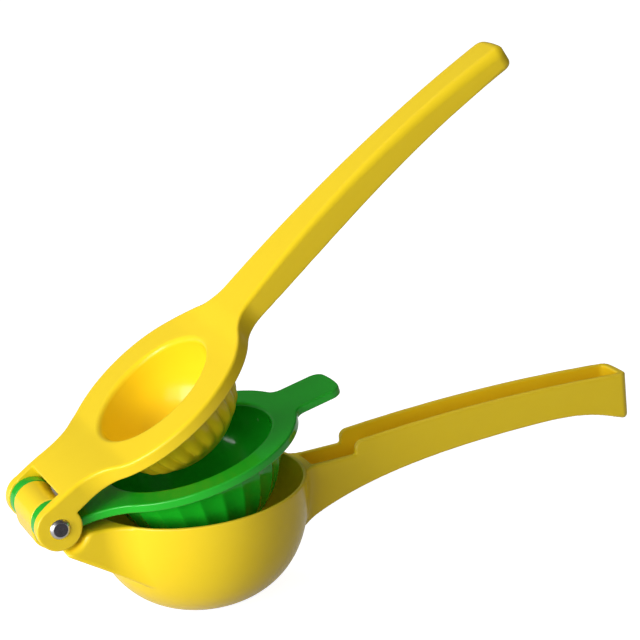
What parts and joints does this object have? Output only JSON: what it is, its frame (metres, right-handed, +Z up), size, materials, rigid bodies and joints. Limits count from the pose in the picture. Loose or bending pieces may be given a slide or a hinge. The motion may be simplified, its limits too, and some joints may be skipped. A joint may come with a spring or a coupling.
{
  "type": "hinged lemon squeezer",
  "caption": "Hinged citrus squeezer with a lemon bowl, a drop-in lime insert and a fluted press, worked by two long handles on one hinge pin.",
  "frame": {"origin": "middle of the bowl's flat base", "axes": "+Z up out of the bowl, +X along the lower handle, +Y to the left of the handles, with Y = 0 the plane of symmetry"},
  "size_m": [0.2354, 0.079, 0.1784],
  "materials": {
    "yellow_enamel": "satin gloss",
    "green_enamel": "satin gloss",
    "pin_steel": "turned"
  },
  "bodies": {
    "bowl": {"lower_bowl": "yellow_enamel"},
    "insert": {"lime_insert": "green_enamel"},
    "press": {"upper_press": "yellow_enamel", "hinge_pin": "pin_steel"}
  },
  "joints": [
    {"name": "insert_swing", "type": "hinge", "parent": "bowl", "child": "insert", "pos_m": [-0.0555, 0, 0.0467], "axis": [0, -1, 0], "range_deg": [-11.9, 68]},
    {"name": "press_swing", "type": "hinge", "parent": "insert", "child": "press", "pos_m": [-0.0555, 0, 0.0467], "axis": [0, -1, 0], "range_deg": [-21.3, 78.5]}
  ]
}
